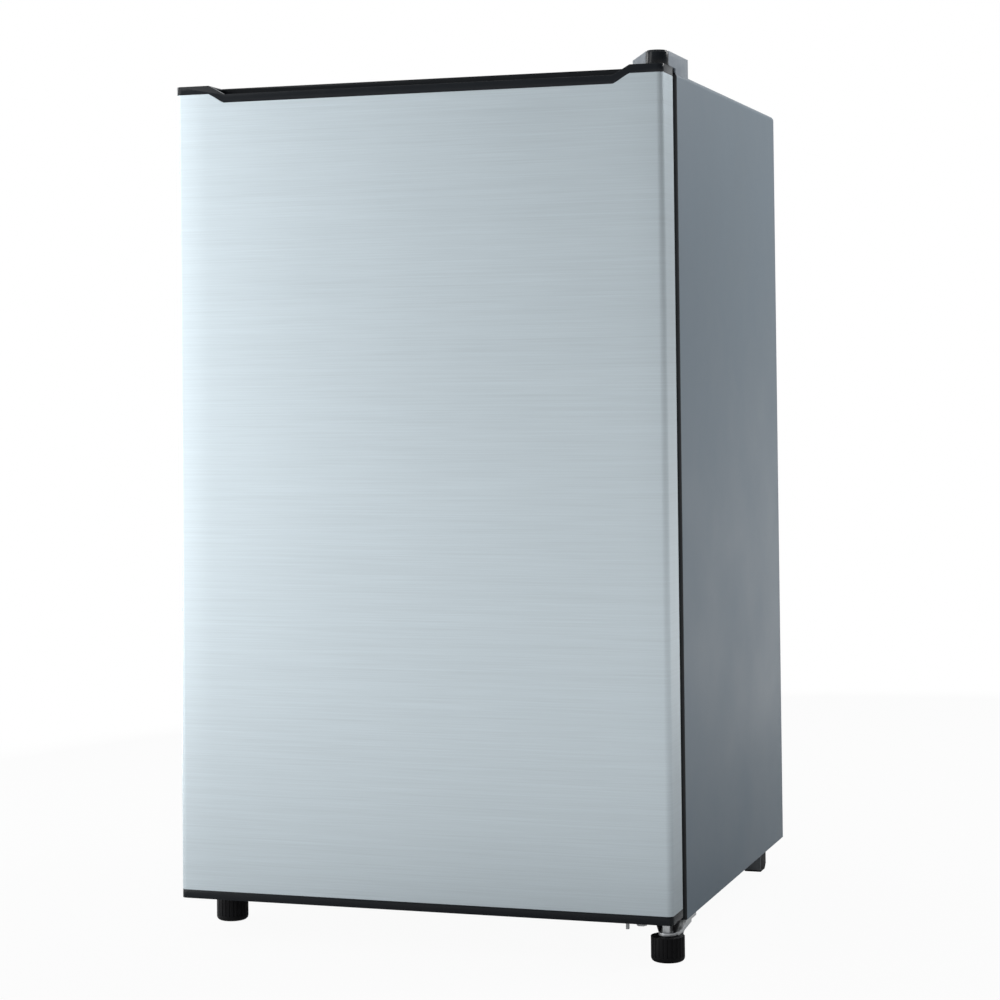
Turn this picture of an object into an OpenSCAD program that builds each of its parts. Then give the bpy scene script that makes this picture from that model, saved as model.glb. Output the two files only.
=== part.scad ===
// Single-door compact refrigerator: steel cabinet foamed round a plastic liner, a freezer box with
// its own flap, glass shelves, a crisper, lift-off door racks, and a compressor with a wire condenser.
// Frame: +Z up, the door faces -Y, +X to the right. The origin is on the floor, midway between the
// cabinet's sides and midway between the door's face and the condenser.

/* [Cabinet] */
// Width of the cabinet and of the door
body_w = 486; // [476:2:500]
// Depth of the steel cabinet without the door
cabinet_d = 438; // [434:2:450]
// Thickness of the foam in the side walls
foam_side = 34; // [30:1:36]
/* [Door] */
// Height of the door, cap to cap
door_h = 780; // [774:2:800]
// Thickness of the door's outer case
door_t = 38; // [37:1:40]
// Gap between the door's case and the cabinet, filled by the gasket
gasket_gap = 14; // [13:1:15]
// How far the grip notch drops below the top of the cap
notch_drop = 9; // [6:1:10]
// Radius of the door's front corners
door_r = 6; // [5:1:10]
/* [Stance] */
// Height of the door's lower edge above the floor
floor_gap = 36; // [36:1:38]
// Diameter of a levelling foot
foot_d = 31; // [28:1:32]
/* [Interior] */
// Height of the freezer box
freezer_h = 112; // [106:2:114]
// Height of the lower glass shelf above the floor
lower_shelf_z = 378; // [374:2:380]
// Height of the upper glass shelf above the floor
upper_shelf_z = 492; // [490:2:494]
/* [Condenser] */
// Number of tube passes in the condenser
passes = 12; // [8:2:12]
// Number of wires on each face of the condenser
wires = 22; // [10:2:24]

/* [Hidden] */
$fn = 48;

// Sheet and wall thicknesses
steel = 1.2;
plastic = 1.8;
skin = 0.8;
touch = 0.1;       // play between pieces of one body that only meet
through = 1;       // how far a cutting tool runs past a face
run = 0.05;        // radial clearance of a turning fit

// Colours
silver = [0.74, 0.79, 0.83];
cabinet_grey = [0.47, 0.51, 0.55];
black = [0.08, 0.09, 0.10];
white = [0.93, 0.94, 0.94];
zinc = [0.72, 0.74, 0.75];
copper = [0.72, 0.43, 0.26];

// Main planes
half = body_w / 2;
rear_out = 21;
y_front = -(door_t + gasket_gap + cabinet_d + rear_out) / 2;
y_door = y_front + door_t;
y_cab = y_door + gasket_gap;
y_rear = y_cab + cabinet_d;
z_door = floor_gap;
z_top = z_door + door_h;
z_cab = z_door - 5;
z_roof = z_top - 2;

// Liner: inner faces of the food compartment
lin_x = half - steel - foam_side - plastic;
lin_z0 = z_cab + steel + 36 + plastic;
lin_z1 = z_roof - steel - 38 - plastic;
lin_y1 = y_rear - 2 * steel - 46 - plastic;
bay_y = y_rear - 138;                      // front wall of the compressor bay
bay_z = z_cab + 191;                       // ceiling of the compressor bay
foam_step = 34;
step_y = bay_y - steel - foam_step - plastic;
step_z = bay_z + steel + foam_step + plastic;
flange_x = half - 18;                      // inner edge of the front flange
flange_z0 = z_cab + 18;
flange_z1 = z_roof - 18;

// Hinge line and its hardware
hinge_x = half - 10.5;
hinge_y = y_front + 22;
top_pin_r = 4;
low_pin_r = 5;
cover_z = z_top + 14;                      // top of the hinge cover
cover_x0 = half - 50;                      // left face of that cover
cover_x1 = half - 0.5;
cover_y1 = y_cab + 47.5;                   // rear face of that cover
cover_drop = 3;                            // how far its right wall comes down round the roof's edge
nose_r = 10.5;                             // radius of the round cap over the upper pin
plate_t = 2.6;
tongue_z = z_door - 12.6;                  // underside of the lower bracket's tongue
tongue_r = 8.4;
nut_af = 11;                               // across flats of the lower pin's collar
collar_z = z_door - 3.4;                   // top of that collar
stud_r = 3;
foot_h = 22.7;
left_foot = [-half + 17.5, y_front + 81];
foot_y0 = y_rear - 45;                     // front and rear faces of the rear feet
foot_y1 = y_rear - 20;
top_screws = [[half - 35, y_cab + 22], [half - 14, y_cab + 18], [half - 26, y_cab + 36]];
low_screws = [[half - 45, y_cab + 8], [half - 20, y_cab + 24], [half - 42, y_cab + 30]];
screw_r = 2.4;
screw_hole_r = 2.5;
head_r = 5;

// Freezer box
fz_x0 = -lin_x + 10;
fz_x1 = lin_x - 56;
fz_z1 = lin_z1 - 8;
fz_z0 = fz_z1 - freezer_h;
fz_y0 = y_cab + 139;
fz_y1 = lin_y1 - 18;
alu = 1.6;
flap_y = fz_y0 - 14;                       // line of the flap's pins
flap_z = fz_z1 - 7;
flap_pin_r = 2.5;

// Thermostat
th_x0 = fz_x1 + 8;
th_x1 = lin_x - 1;
knob_x = (th_x0 + th_x1) / 2;
knob_z = (fz_z0 + fz_z1) / 2;
th_y = fz_y0 - 4;
knob_r = 17;

// Shelves, tray and crisper
ledge_w = 8;
ledge_h = 6;
shelf_x = lin_x - 4;
shelf_y0 = y_cab + 85;
shelf_y1 = lin_y1 - 9;
glass = 4;
cover_glass_z = step_z;
tray_z = fz_z0 - 47;
tray_h = 22;
tray_y0 = fz_y0 - 12;
tray_y1 = fz_y1 - 4;
crisper_x = lin_x - 16;
crisper_y0 = y_cab + 109;
crisper_y1 = step_y - 6;
crisper_z1 = cover_glass_z - 13;
clear_t = 2.5;

// Door inside
ridge_x = lin_x - 10;
ridge_w = 10;
ridge_r = 20;                              // outer radius of the ridge's corners
ridge_y = y_cab + 15;                      // crest of the ridge that holds the racks
ridge_z0 = lin_z0 + 6;
ridge_z1 = lin_z1 - 10;
rack_x = ridge_x - ridge_w - 2;
rack_y = y_door + 2;
rack_t = 2.5;
boss = [6, 11, 16];                        // out of the ridge, along Y, up
rack_low_z = lin_z0 + 22;
rack_mid_z = lower_shelf_z + 14;
rack_up_z = upper_shelf_z + 23;

// Door caps
cap_h = 8;
plug = 12;                                 // how far the lower cap reaches into the door
grip_floor = z_top - 32;                   // bottom of the finger groove
lip_t = 7;
grip_rear = 7;
notch_x = 2;                               // centre of the notch
notch_half = 210;
notch_run = 16;                            // width of the notch's sloping ends

// Compressor
comp = [-70, y_rear - 68];
comp_r = 60;
comp_z = z_cab + 19;
comp_h = 138;
plate_top = z_cab + 2;
mount_hole = [68, 38];
bolt_r = 4;
bolt_hole_r = 4.1;
grommet_r = 9;
cond_y = y_rear + 17;
cond_x = 200;
cond_z0 = bay_z + 28;
cond_pitch = 47;
clip_x = cond_x - 27.5;                    // middle of the clips that hold the tube
clip_w = 7;
tube_r = 2.4;
wire_r = 0.8;
line_x = half - 22;                        // line from the condenser down to the drier
line_r = 2.4;
cord_x = 158;
cord_z = z_cab + 20;
cord_r = 3.6;
gland_r = 7;

// ---------- helpers ----------
module along_x(x0, x1) { translate([x0, 0, 0]) rotate([90, 0, 90]) linear_extrude(x1 - x0) children(); }
module along_y(y0, y1) { translate([0, y1, 0]) rotate([90, 0, 0]) linear_extrude(y1 - y0) children(); }
module along_z(z0, z1) { translate([0, 0, z0]) linear_extrude(z1 - z0) children(); }
module rect(x0, y0, x1, y1) { translate([x0, y0]) square([x1 - x0, y1 - y0]); }
module box(a, b) { translate(a) cube(b - a); }
module round_rect(x0, y0, x1, y1, r) {
    rect(x0 + r, y0, x1 - r, y1);
    rect(x0, y0 + r, x1, y1 - r);
    for (x = [x0 + r, x1 - r], y = [y0 + r, y1 - r]) translate([x, y]) circle(r);
}
module rod(p, r, h) { translate(p) cylinder(r = r, h = h); }
module rod_y(p, r, l) { translate(p) rotate([-90, 0, 0]) cylinder(r = r, h = l); }
module rod_x(p, r, l) { translate(p) rotate([0, 90, 0]) cylinder(r = r, h = l); }
module both_sides() { children(); mirror([1, 0, 0]) children(); }
module at_hinge(z = 0) { translate([hinge_x, hinge_y, z]) children(); }
// One straight length of tube between two points, with a ball at its start to round the bend.
module leg(a, b, r) {
    d = b - a;
    l = norm(d);
    translate(a) {
        sphere(r);
        rotate([0, acos(d[2] / l), atan2(d[1], d[0])]) cylinder(r = r, h = l);
    }
}
module tube(points, r) {
    for (i = [0:len(points) - 2]) leg(points[i], points[i + 1], r);
    translate(points[len(points) - 1]) sphere(r);
}
// Tray open at the top, between corners a and b, with walls of thickness t.
module tray(a, b, t, r = 6) {
    difference() {
        along_z(a[2], b[2]) round_rect(a[0], a[1], b[0], b[1], r);
        along_z(a[2] + t, b[2] + through) round_rect(a[0] + t, a[1] + t, b[0] - t, b[1] - t, r - t);
    }
}

// ---------- cabinet ----------
module shell_outline(inset = 0) {
    r = 5;
    rect(-half + inset, z_cab - (inset > 0 ? through : 0), half - inset, z_roof - r);
    rect(-half + r, z_cab + r, half - r, z_roof - inset);
    for (s = [-1, 1]) translate([s * (half - r), z_roof - r]) circle(r - inset);
}
// Sheet wrapped over the top and both sides, turned in at the front and at the rear.
module cabinet_shell() color(cabinet_grey) difference() {
    union() {
        along_y(y_cab, y_rear) difference() {
            shell_outline();
            shell_outline(steel);
        }
        for (y = [y_cab, y_rear - steel]) along_y(y, y + steel) difference() {
            shell_outline();
            rect(-flange_x, z_cab - through, flange_x, flange_z1);
        }
    }
    for (p = top_screws) rod([p[0], p[1], z_roof - 5], screw_hole_r, 10);
}
module back_panel() color(cabinet_grey) along_y(y_rear - 2 * steel, y_rear - steel) intersection() {
    shell_outline(steel);
    rect(-half, bay_z + steel, half, z_roof);
}
// Underside sheet, stepped up over the compressor bay, with a front lip.
module base_panel() color(cabinet_grey) difference() {
    union() {
        along_x(-half + steel, half - steel) polygon([
            [y_cab + steel, z_cab], [bay_y, z_cab], [bay_y, bay_z], [y_rear - 2 * steel, bay_z],
            [y_rear - 2 * steel, bay_z + steel], [bay_y - steel, bay_z + steel],
            [bay_y - steel, z_cab + steel], [y_cab + steel, z_cab + steel]]);
        box([-flange_x, y_cab, z_cab], [flange_x, y_cab + steel, flange_z0]);
    }
    rod([left_foot[0], left_foot[1], z_cab - through], 6 + touch, 4);
    for (p = low_screws) rod([p[0], p[1], z_cab - through], screw_hole_r, 4);
}
// Space inside the liner, with all of its faces moved out by grow.
module compartment(grow, y0) {
    along_x(-lin_x - grow, lin_x + grow) polygon([
        [y0, lin_z0 - grow], [step_y + grow, lin_z0 - grow], [step_y + grow, step_z - grow],
        [lin_y1 + grow, step_z - grow], [lin_y1 + grow, lin_z1 + grow], [y0, lin_z1 + grow]]);
}
module foam_insulation() color([0.93, 0.86, 0.62]) difference() {
    along_y(y_cab + plastic, y_rear - 2 * steel) shell_outline(steel);
    box([-half, y_cab, z_cab - 2 * through], [half, y_rear, z_cab + steel]);
    box([-half, bay_y - steel, z_cab], [half, y_rear, bay_z + steel]);
    compartment(plastic, y_cab);
    rod([left_foot[0], left_foot[1], z_cab], 6 + touch, 33);
    for (p = low_screws) rod([p[0], p[1], z_cab], screw_hole_r, 16);
    for (p = top_screws) rod([p[0], p[1], z_roof - 16], screw_hole_r, 20);
}
// Ledges on both side walls carry the shelves, the crisper's cover and the drip tray.
module inner_liner() color(white) {
    difference() {
        union() {
            compartment(plastic, y_cab);
            along_y(y_cab, y_cab + plastic) rect(-flange_x + touch, flange_z0 + touch,
                flange_x - touch, flange_z1 - touch);
        }
        compartment(0, y_cab - through);
    }
    for (z = [lower_shelf_z, upper_shelf_z, tray_z]) both_sides()
        box([lin_x - ledge_w, shelf_y0 + 12, z - ledge_h], [lin_x + touch, lin_y1 - 25, z]);
    both_sides() box([lin_x - ledge_w, shelf_y0 + 12, cover_glass_z - ledge_h],
        [lin_x + touch, step_y + touch, cover_glass_z]);
}

// ---------- freezer and thermostat ----------
module evaporator() color([0.80, 0.82, 0.84]) difference() {
    along_y(fz_y0, fz_y1) round_rect(fz_x0, fz_z0, fz_x1, fz_z1, 10);
    along_y(fz_y0 - through, fz_y1 - alu)
        round_rect(fz_x0 + alu, fz_z0 + alu, fz_x1 - alu, fz_z1 - alu, 10 - alu);
}
module evaporator_hangers() color(white)
    for (x = [fz_x0 + 45, fz_x1 - 45], y = [fz_y0 + 35, fz_y1 - 40])
        rod([x, y, fz_z1], 6, lin_z1 - fz_z1);
// Frame in front of the box, with an ear at each side for the flap's pins.
module freezer_frame() color(white) difference() {
    union() {
        along_y(fz_y0 - 8, fz_y0 - touch) difference() {
            round_rect(fz_x0 - 6, fz_z0 - 6, fz_x1 + 6, fz_z1 + 6, 4);
            round_rect(fz_x0 + 6, fz_z0 + 6, fz_x1 - 6, fz_z1 - 6, 4);
        }
        for (x = [fz_x0 - 6, fz_x1 + 1.5]) along_x(x, x + 4.5) {
            rect(flap_y, flap_z - 7, fz_y0 - 7, flap_z + 7);
            translate([flap_y, flap_z]) circle(7);
        }
    }
    rod_x([fz_x0 - 10, flap_y, flap_z], flap_pin_r + run, fz_x1 - fz_x0 + 20);
}
module freezer_flap() color([0.86, 0.90, 0.93]) {
    difference() {
        along_x(fz_x0 + 2, fz_x1 - 2) round_rect(flap_y - 4, fz_z0 - 1, flap_y + 4, flap_z + 4, 2);
        box([fz_x0 + 6, flap_y - 1.5, fz_z0 + 4], [fz_x1 - 6, flap_y + 5, flap_z - 8]);
    }
    rod_x([fz_x0 - 4, flap_y, flap_z], flap_pin_r, 7);
    rod_x([fz_x1 - 3, flap_y, flap_z], flap_pin_r, 7);
    box([-55, flap_y - 12, fz_z0 - 1], [10, flap_y - 3, fz_z0 + 5]);
}
module thermostat_housing() color(white) difference() {
    along_y(th_y, fz_y1 - 30) round_rect(th_x0, fz_z0 - 6, th_x1, lin_z1 - touch, 5);
    along_y(th_y + 2, fz_y1) rect(th_x0 + 2, fz_z0 - 4, th_x1 - 2, lin_z1 - 2);
    rod_y([knob_x, th_y - through, knob_z], stud_r + 1, 4);
}
module thermostat_switch() color([0.35, 0.36, 0.38]) {
    box([knob_x - 15, th_y + 2 + touch, knob_z - 14], [knob_x + 15, th_y + 40, knob_z + 14]);
    rod_y([knob_x, th_y - 9, knob_z], stud_r, 12);
}
module thermostat_knob() color([0.88, 0.89, 0.90]) difference() {
    union() {
        rod_y([knob_x, th_y - 13, knob_z], knob_r, 12);
        along_y(th_y - 19, th_y - 12) round_rect(knob_x - 3, knob_z - 15, knob_x + 3, knob_z + 15, 2.9);
    }
    rod_y([knob_x, th_y - 9.5, knob_z], stud_r + run, 12);
}

// ---------- shelves, tray and crisper ----------
module shelf_glass(z, y0, y1) color([0.75, 0.88, 0.86, 0.4])
    along_z(z, z + glass) round_rect(-shelf_x, y0 + 4, shelf_x, y1 - 2, 3);
// Front and rear trims with a groove for the glass.
module shelf_trim(z, y0, y1) color(white) difference() {
    union() {
        along_x(-shelf_x, shelf_x) round_rect(y0, z - 3.5, y0 + 11, z + glass + 3, 3);
        along_x(-shelf_x, shelf_x) round_rect(y1 - 7, z - 0, y1, z + glass + 8, 2);
    }
    box([-shelf_x - through, y0 + 4 - touch, z],
        [shelf_x + through, y1 - 2 + touch, z + glass + touch]);
}
module upper_shelf_glass() shelf_glass(upper_shelf_z, shelf_y0, shelf_y1);
module upper_shelf_trim() shelf_trim(upper_shelf_z, shelf_y0, shelf_y1);
module lower_shelf_glass() shelf_glass(lower_shelf_z, shelf_y0, shelf_y1);
module lower_shelf_trim() shelf_trim(lower_shelf_z, shelf_y0, shelf_y1);
module crisper_cover_glass() shelf_glass(cover_glass_z, shelf_y0, shelf_y1);
module crisper_cover_trim() shelf_trim(cover_glass_z, shelf_y0, shelf_y1);
module drip_tray() color([0.90, 0.92, 0.94]) {
    tray([-shelf_x + 1, tray_y0, tray_z], [shelf_x - 1, tray_y1, tray_z + tray_h], 2.2);
    box([-60, tray_y0 - 8, tray_z + tray_h - 5], [60, tray_y0 + 1, tray_z + tray_h]);
}
module crisper_drawer() color([0.80, 0.90, 0.94, 0.5]) {
    tray([-crisper_x, crisper_y0, lin_z0 + 4], [crisper_x, crisper_y1, crisper_z1], clear_t, 12);
    for (x = [-120, 120])
        box([x - 6, crisper_y0 + 14, lin_z0 + 0.3], [x + 6, crisper_y1 - 14, lin_z0 + 5]);
    along_x(-110, 110) polygon([[crisper_y0 + 1, crisper_z1 - 14], [crisper_y0 + 1, crisper_z1],
        [crisper_y0 - 6, crisper_z1], [crisper_y0 - 6, crisper_z1 - 4]]);
}

// ---------- door ----------
module door_plan(inset = 0) {
    r = door_r - inset;
    rect(-half + door_r, y_front + inset, half - door_r, y_door - inset);
    rect(-half + inset, y_front + door_r, half - inset, y_door - inset);
    for (s = [-1, 1]) translate([s * (half - door_r), y_front + door_r]) circle(r);
}
// Region of the notch in the XZ plane; lift raises its floor.
module notch(lift = 0) {
    z = z_top - notch_drop + lift;
    x0 = notch_x - notch_half;
    x1 = notch_x + notch_half;
    polygon([[x0, z_top + lift], [x0 + notch_run, z], [x1 - notch_run, z], [x1, z_top + lift],
        [x1, z_top + 20], [x0, z_top + 20]]);
}
// Wrap of the front and both sides, turned in at the rear, with the notch cut from its upper edge.
module door_skin() color(silver) difference() {
    along_z(z_door + cap_h, z_top - cap_h) difference() {
        door_plan();
        difference() {
            door_plan(skin);
            rect(-half, y_door - skin, half, y_door);
        }
        rect(-half + 10, y_door - through, half - 10, y_door + through);
    }
    along_y(y_front - through, y_front + lip_t) notch(-cap_h);
}
// Upper cap with a finger groove behind its lowered front lip. Lip and groove share their sloping ends.
module door_top_cap() color(black) difference() {
    union() {
        along_z(z_top - cap_h, z_top) door_plan();
        along_z(grip_floor - 4, z_top - cap_h) intersection() {
            door_plan(skin + touch);
            rect(-half + 11, y_front, half - 4, y_door - 1.6);
        }
        intersection() {
            along_z(z_top - cap_h - notch_drop, z_top) door_plan();
            along_y(y_front - through, y_front + lip_t) notch(-cap_h);
        }
    }
    along_y(y_front - through, y_door - grip_rear) notch();
    along_y(y_front + lip_t, y_door - grip_rear) round_rect(notch_x - notch_half + 2, grip_floor,
        notch_x + notch_half - 12, z_top + 20, 9);
    at_hinge(z_top - 18) cylinder(r = 7, h = 20);
}
module door_bottom_cap() color(black) difference() {
    union() {
        along_z(z_door, z_door + cap_h) door_plan();
        along_z(z_door + cap_h, z_door + cap_h + plug) intersection() {
            door_plan(skin + touch);
            rect(-half, y_front, half, y_door - 1.6);
        }
    }
    box([-half + 14, y_front + 5, z_door + 4], [half - 26, y_door - 5, z_door + 40]);
    at_hinge(z_door - through) cylinder(r = 8, h = 40);
}
module door_foam() color([0.93, 0.86, 0.62]) difference() {
    along_z(z_door + cap_h + plug, grip_floor - 4) door_plan(skin);
    box([-half, y_door - 1.5, 0], [half, y_door + 5, z_top]);
    at_hinge() cylinder(r = 8, h = z_door + 40);
}
// Inner panel: flat flange under the gasket, raised ridge with bosses for the racks.
module door_liner() color(white) {
    y0 = y_door - 1.5;
    box([-half + 10 + touch, y0, z_door + cap_h + 2], [half - 10 - touch, y_door, z_top - cap_h - 2]);
    along_y(y_door - touch, ridge_y) difference() {
        round_rect(-ridge_x, ridge_z0, ridge_x, ridge_z1, ridge_r);
        round_rect(-ridge_x + ridge_w, ridge_z0 + ridge_w, ridge_x - ridge_w, ridge_z1 - ridge_w,
            ridge_r - ridge_w);
    }
    for (z = [rack_low_z, rack_mid_z, rack_up_z]) both_sides()
        box([rack_x - boss[0] + 2, rack_y + 9.5, z + 2],
            [rack_x + 3, rack_y + 9.5 + boss[1], z + 2 + boss[2]]);
}
module gasket_ring(w, y0, y1) {
    x = half - 10;
    along_y(y0, y1) difference() {
        rect(-x, z_door + 10, x, z_top - 10);
        rect(-x + w, z_door + 10 + w, x - w, z_top - 10 - w);
    }
}
// Base strip in the liner's edge, a narrow bellows, and the magnet strip that meets the cabinet.
module door_gasket() color(black) {
    gasket_ring(18, y_door, y_door + 4);
    gasket_ring(14, y_door + 4 - touch, y_door + gasket_gap - 5);
    gasket_ring(18, y_door + gasket_gap - 5 - touch, y_door + gasket_gap - 0.3);
}
module top_door_bush() color(white) at_hinge(z_top - 18) difference() {
    cylinder(r = 7 - touch, h = 17.5);
    translate([0, 0, -through]) cylinder(r = top_pin_r + run, h = 20);
}
// Flanged bush whose lower end stands on the pin's collar and carries the door.
module bottom_door_bush() color(white) at_hinge() difference() {
    union() {
        translate([0, 0, collar_z + touch]) cylinder(r = 6.5, h = z_door - collar_z + 1);
        translate([0, 0, z_door + 0.3]) cylinder(r = 8 - touch, h = 18);
    }
    translate([0, 0, collar_z - through]) cylinder(r = low_pin_r + run, h = 26);
}
// Tapered sleeve under the door that wraps the back of the lower pin and is open at the front.
module hinge_shroud() color(black) at_hinge() difference() {
    translate([0, 0, z_door - 9.4]) cylinder(r1 = 8.6, r2 = 11.3, h = 9.3);
    translate([0, 0, z_door - 20]) cylinder(r = nut_af / 2 + 1.3, h = 30);
    along_z(z_door - 20, z_door + 10) polygon([[0, 3], [-14, -12], [0, -20], [14, -12]]);
}

// ---------- door racks ----------
module rack(z, h, d, low_front) color([0.90, 0.94, 0.96, 0.6]) difference() {
    union() {
        difference() {
            along_z(z, z + h) round_rect(-rack_x, rack_y, rack_x, rack_y + d, 8);
            along_z(z + rack_t, z + h + through)
                round_rect(-rack_x + rack_t, rack_y + rack_t, rack_x - rack_t, rack_y + d - rack_t,
                    8 - rack_t);
        }
        both_sides() box([rack_x - 9, rack_y + 6, z], [rack_x - 1, rack_y + 24, z + 22]);
    }
    both_sides() box([rack_x - boss[0] + 1.6, rack_y + 9, z - through],
        [rack_x + through, rack_y + 10 + boss[1], z + 2.3 + boss[2]]);
    x = rack_x + through;
    y = rack_y + 30;                           // step between the low back and the tall front
    z1 = z + h + through;
    box([-x, y, z + low_front], [x, rack_y + d + through, z1]);
    box([-x, rack_y - through, z + 34], [x, y + through, z1]);
}
module upper_rack() rack(rack_up_z, 63, 84, 63);
module middle_rack() rack(rack_mid_z, 65, 84, 65);
module lower_rack() rack(rack_low_z, 78, 90, 70);
// Rail that keeps bottles in the lower rack, with a foot at each end that stands on the rack.
module bottle_rail() color(white) {
    z = rack_low_z + 70 + touch;
    box([-rack_x, rack_y + 86.5, z + 34], [rack_x, rack_y + 90, z + 44]);
    both_sides() box([rack_x - 8, rack_y + 86.5 + touch, z], [rack_x, rack_y + 90, z + 35]);
}

// ---------- hinges and feet ----------
// Cranked plate on the roof; its arm reaches over the door to the pin.
module top_hinge_plate() color(zinc) difference() {
    z = z_roof + 3;
    union() {
        along_z(z_roof, z) polygon([[half - 6, y_cab + 6], [half - 6, y_cab + 44],
            [half - 46, y_cab + 44], [half - 46, y_cab + 33], [half - 33, y_cab + 6]]);
        along_z(z_roof, z + 3) rect(half - 16, y_cab + 3, half - 6, y_cab + 9);
        along_z(z, z + 3) {
            rect(half - 16, hinge_y, half - 6, y_cab + 9);
            translate([hinge_x, hinge_y]) circle(7.5);
        }
    }
    at_hinge(z - through) cylinder(r = top_pin_r - 1, h = 6);
    for (p = top_screws) rod([p[0], p[1], z_roof - through], screw_hole_r, 6);
}
module top_hinge_pin() color(zinc) at_hinge() {
    translate([0, 0, z_top - 17]) cylinder(r = top_pin_r, h = 17.9);
    translate([0, 0, z_top + 0.5]) cylinder(r = top_pin_r - 1 - touch, h = 5);
}
module cover_plan(inset = 0) {
    x0 = cover_x0 + inset;
    x1 = cover_x1 - inset;
    x2 = hinge_x - nose_r - 0.5 + inset;
    y1 = cover_y1 - inset;
    polygon([[x2, hinge_y], [x1, hinge_y], [x1, y1], [x0, y1], [x0, y_cab + 31], [x2, hinge_y + 1]]);
}
// Cover over the plate: a hollow box that stands on the roof and tapers in plan towards the pin.
module hinge_cover() color(cabinet_grey) difference() {
    z0 = z_roof - cover_drop;
    along_z(z0, cover_z) cover_plan();
    along_z(z0 - through, cover_z - plastic) cover_plan(plastic);
    along_y(y_cab - 2, y_rear) shell_outline();
    box([0, y_front, z0 - through], [half + through, y_cab - 1, z_top + 0.6]);
    at_hinge(z0 - through) cylinder(r = nose_r + touch, h = 30);
}
// Round cap over the pin, open at the rear for the plate's arm.
module hinge_nose_cap() color(black) at_hinge() difference() {
    union() {
        translate([0, 0, z_top + 0.6]) cylinder(r = nose_r, h = cover_z - z_top - 2.4);
        translate([0, 0, cover_z - 2]) cylinder(r1 = nose_r, r2 = nose_r - 1.2, h = 2);
    }
    translate([0, 0, z_top - through]) cylinder(r = nose_r - 1.9, h = cover_z - z_top - 1);
    translate([-5.6, 0, z_top - through]) cube([11.2, 20, cover_z - z_top - 1]);
}
// Lower bracket: round-ended tongue under the door, a ramp, a plate under the cabinet, a side flange.
module bottom_hinge_bracket() color(zinc) {
    rear_z = z_cab - plate_t;
    y1 = y_cab - 15;
    y2 = y_cab - 1;
    x0 = hinge_x - tongue_r;
    flange = [half - 2.6, half];
    difference() {
        union() {
            along_z(tongue_z, tongue_z + plate_t) {
                translate([hinge_x, hinge_y]) circle(tongue_r);
                rect(x0, hinge_y, flange[1], y1);
            }
            along_x(x0, flange[1]) polygon([[y1 - 2, tongue_z], [y1, tongue_z], [y2, rear_z],
                [y2, z_cab], [y1 - 1, tongue_z + plate_t], [y1 - 2, tongue_z + plate_t]]);
            along_z(rear_z, z_cab) round_rect(half - 62, y2 - 0.2, flange[1], y_cab + 40, 4);
            along_x(flange[0], flange[1]) polygon([[y1 + 1, tongue_z - 2.6], [y1 + 1, tongue_z],
                [hinge_y + 1.6, tongue_z], [hinge_y + 1.6, tongue_z + plate_t],
                [y1, tongue_z + plate_t + 0.6], [y2, z_cab - 0.4], [y_cab + 18, z_cab],
                [y_cab + 18, z_cab - 5], [y1 + 6, tongue_z + 0.4]]);
        }
        at_hinge(tongue_z - through - 4) cylinder(r = stud_r + 1, h = 10);
        for (p = low_screws) rod([p[0], p[1], rear_z - through], screw_hole_r, 6);
    }
    box([half - 58.5, y_cab + 1.5, z_cab - 12], [half - 56, y_cab + 5, z_cab - plate_t + touch]);
}
// Pin with a hexagonal collar; the right foot's stud screws up inside it.
module bottom_hinge_pin() color(zinc) at_hinge() difference() {
    union() {
        translate([0, 0, tongue_z + plate_t])
            cylinder(r = nut_af / 2 / cos(30), h = collar_z - tongue_z - plate_t, $fn = 6);
        translate([0, 0, tongue_z + plate_t]) cylinder(r = low_pin_r, h = 26);
    }
    translate([0, 0, tongue_z]) cylinder(r = stud_r + run, h = 26);
}
module hex_screw(l, head_h) {
    cylinder(r = head_r, h = head_h, $fn = 6);
    translate([0, 0, -l]) cylinder(r = screw_r, h = l + touch);
}
module hinge_screws() color(zinc) {
    for (p = top_screws) translate([p[0], p[1], z_roof + 3]) hex_screw(16, 4);
    for (p = low_screws) translate([p[0], p[1], z_cab - plate_t]) mirror([0, 0, 1]) hex_screw(16, 6.5);
}
module left_foot_insert() color(zinc) translate([left_foot[0], left_foot[1], z_cab]) difference() {
    cylinder(r = 6, h = 14);
    translate([0, 0, -through]) cylinder(r = stud_r + run, h = 20);
}
module foot_stud(p, top) color(zinc) rod([p[0], p[1], 6], stud_r, top - 6);
module left_foot_stud() foot_stud(left_foot, z_cab + 26);
module right_foot_stud() foot_stud([hinge_x, hinge_y], z_door + 8);
// Fluted foot with a rounded lower edge, turned by hand.
module foot_base(p) color(black) translate([p[0], p[1], 0]) difference() {
    rotate_extrude() difference() {
        union() {
            rect(0, 0, foot_d / 2 - 4, foot_h);
            rect(0, 4, foot_d / 2, foot_h);
            translate([foot_d / 2 - 4, 4]) circle(4);
        }
        rect(-10, -through, 0, foot_h + through);
    }
    translate([0, 0, 6]) cylinder(r = stud_r + run, h = foot_h);
    for (a = [0:15:345]) rotate(a)
        translate([foot_d / 2 + 0.4, 0, 5]) cylinder(r = 1, h = foot_h, $fn = 16);
}
module left_foot_base() foot_base(left_foot);
module right_foot_base() foot_base([hinge_x, hinge_y]);
module rear_feet() color(black) both_sides() along_x(half - 34, half - 15.5) polygon([
    [foot_y0, z_cab - touch], [foot_y0, 0], [foot_y1 - 6, 0], [foot_y1, 5], [foot_y1, z_cab - touch]]);

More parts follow.
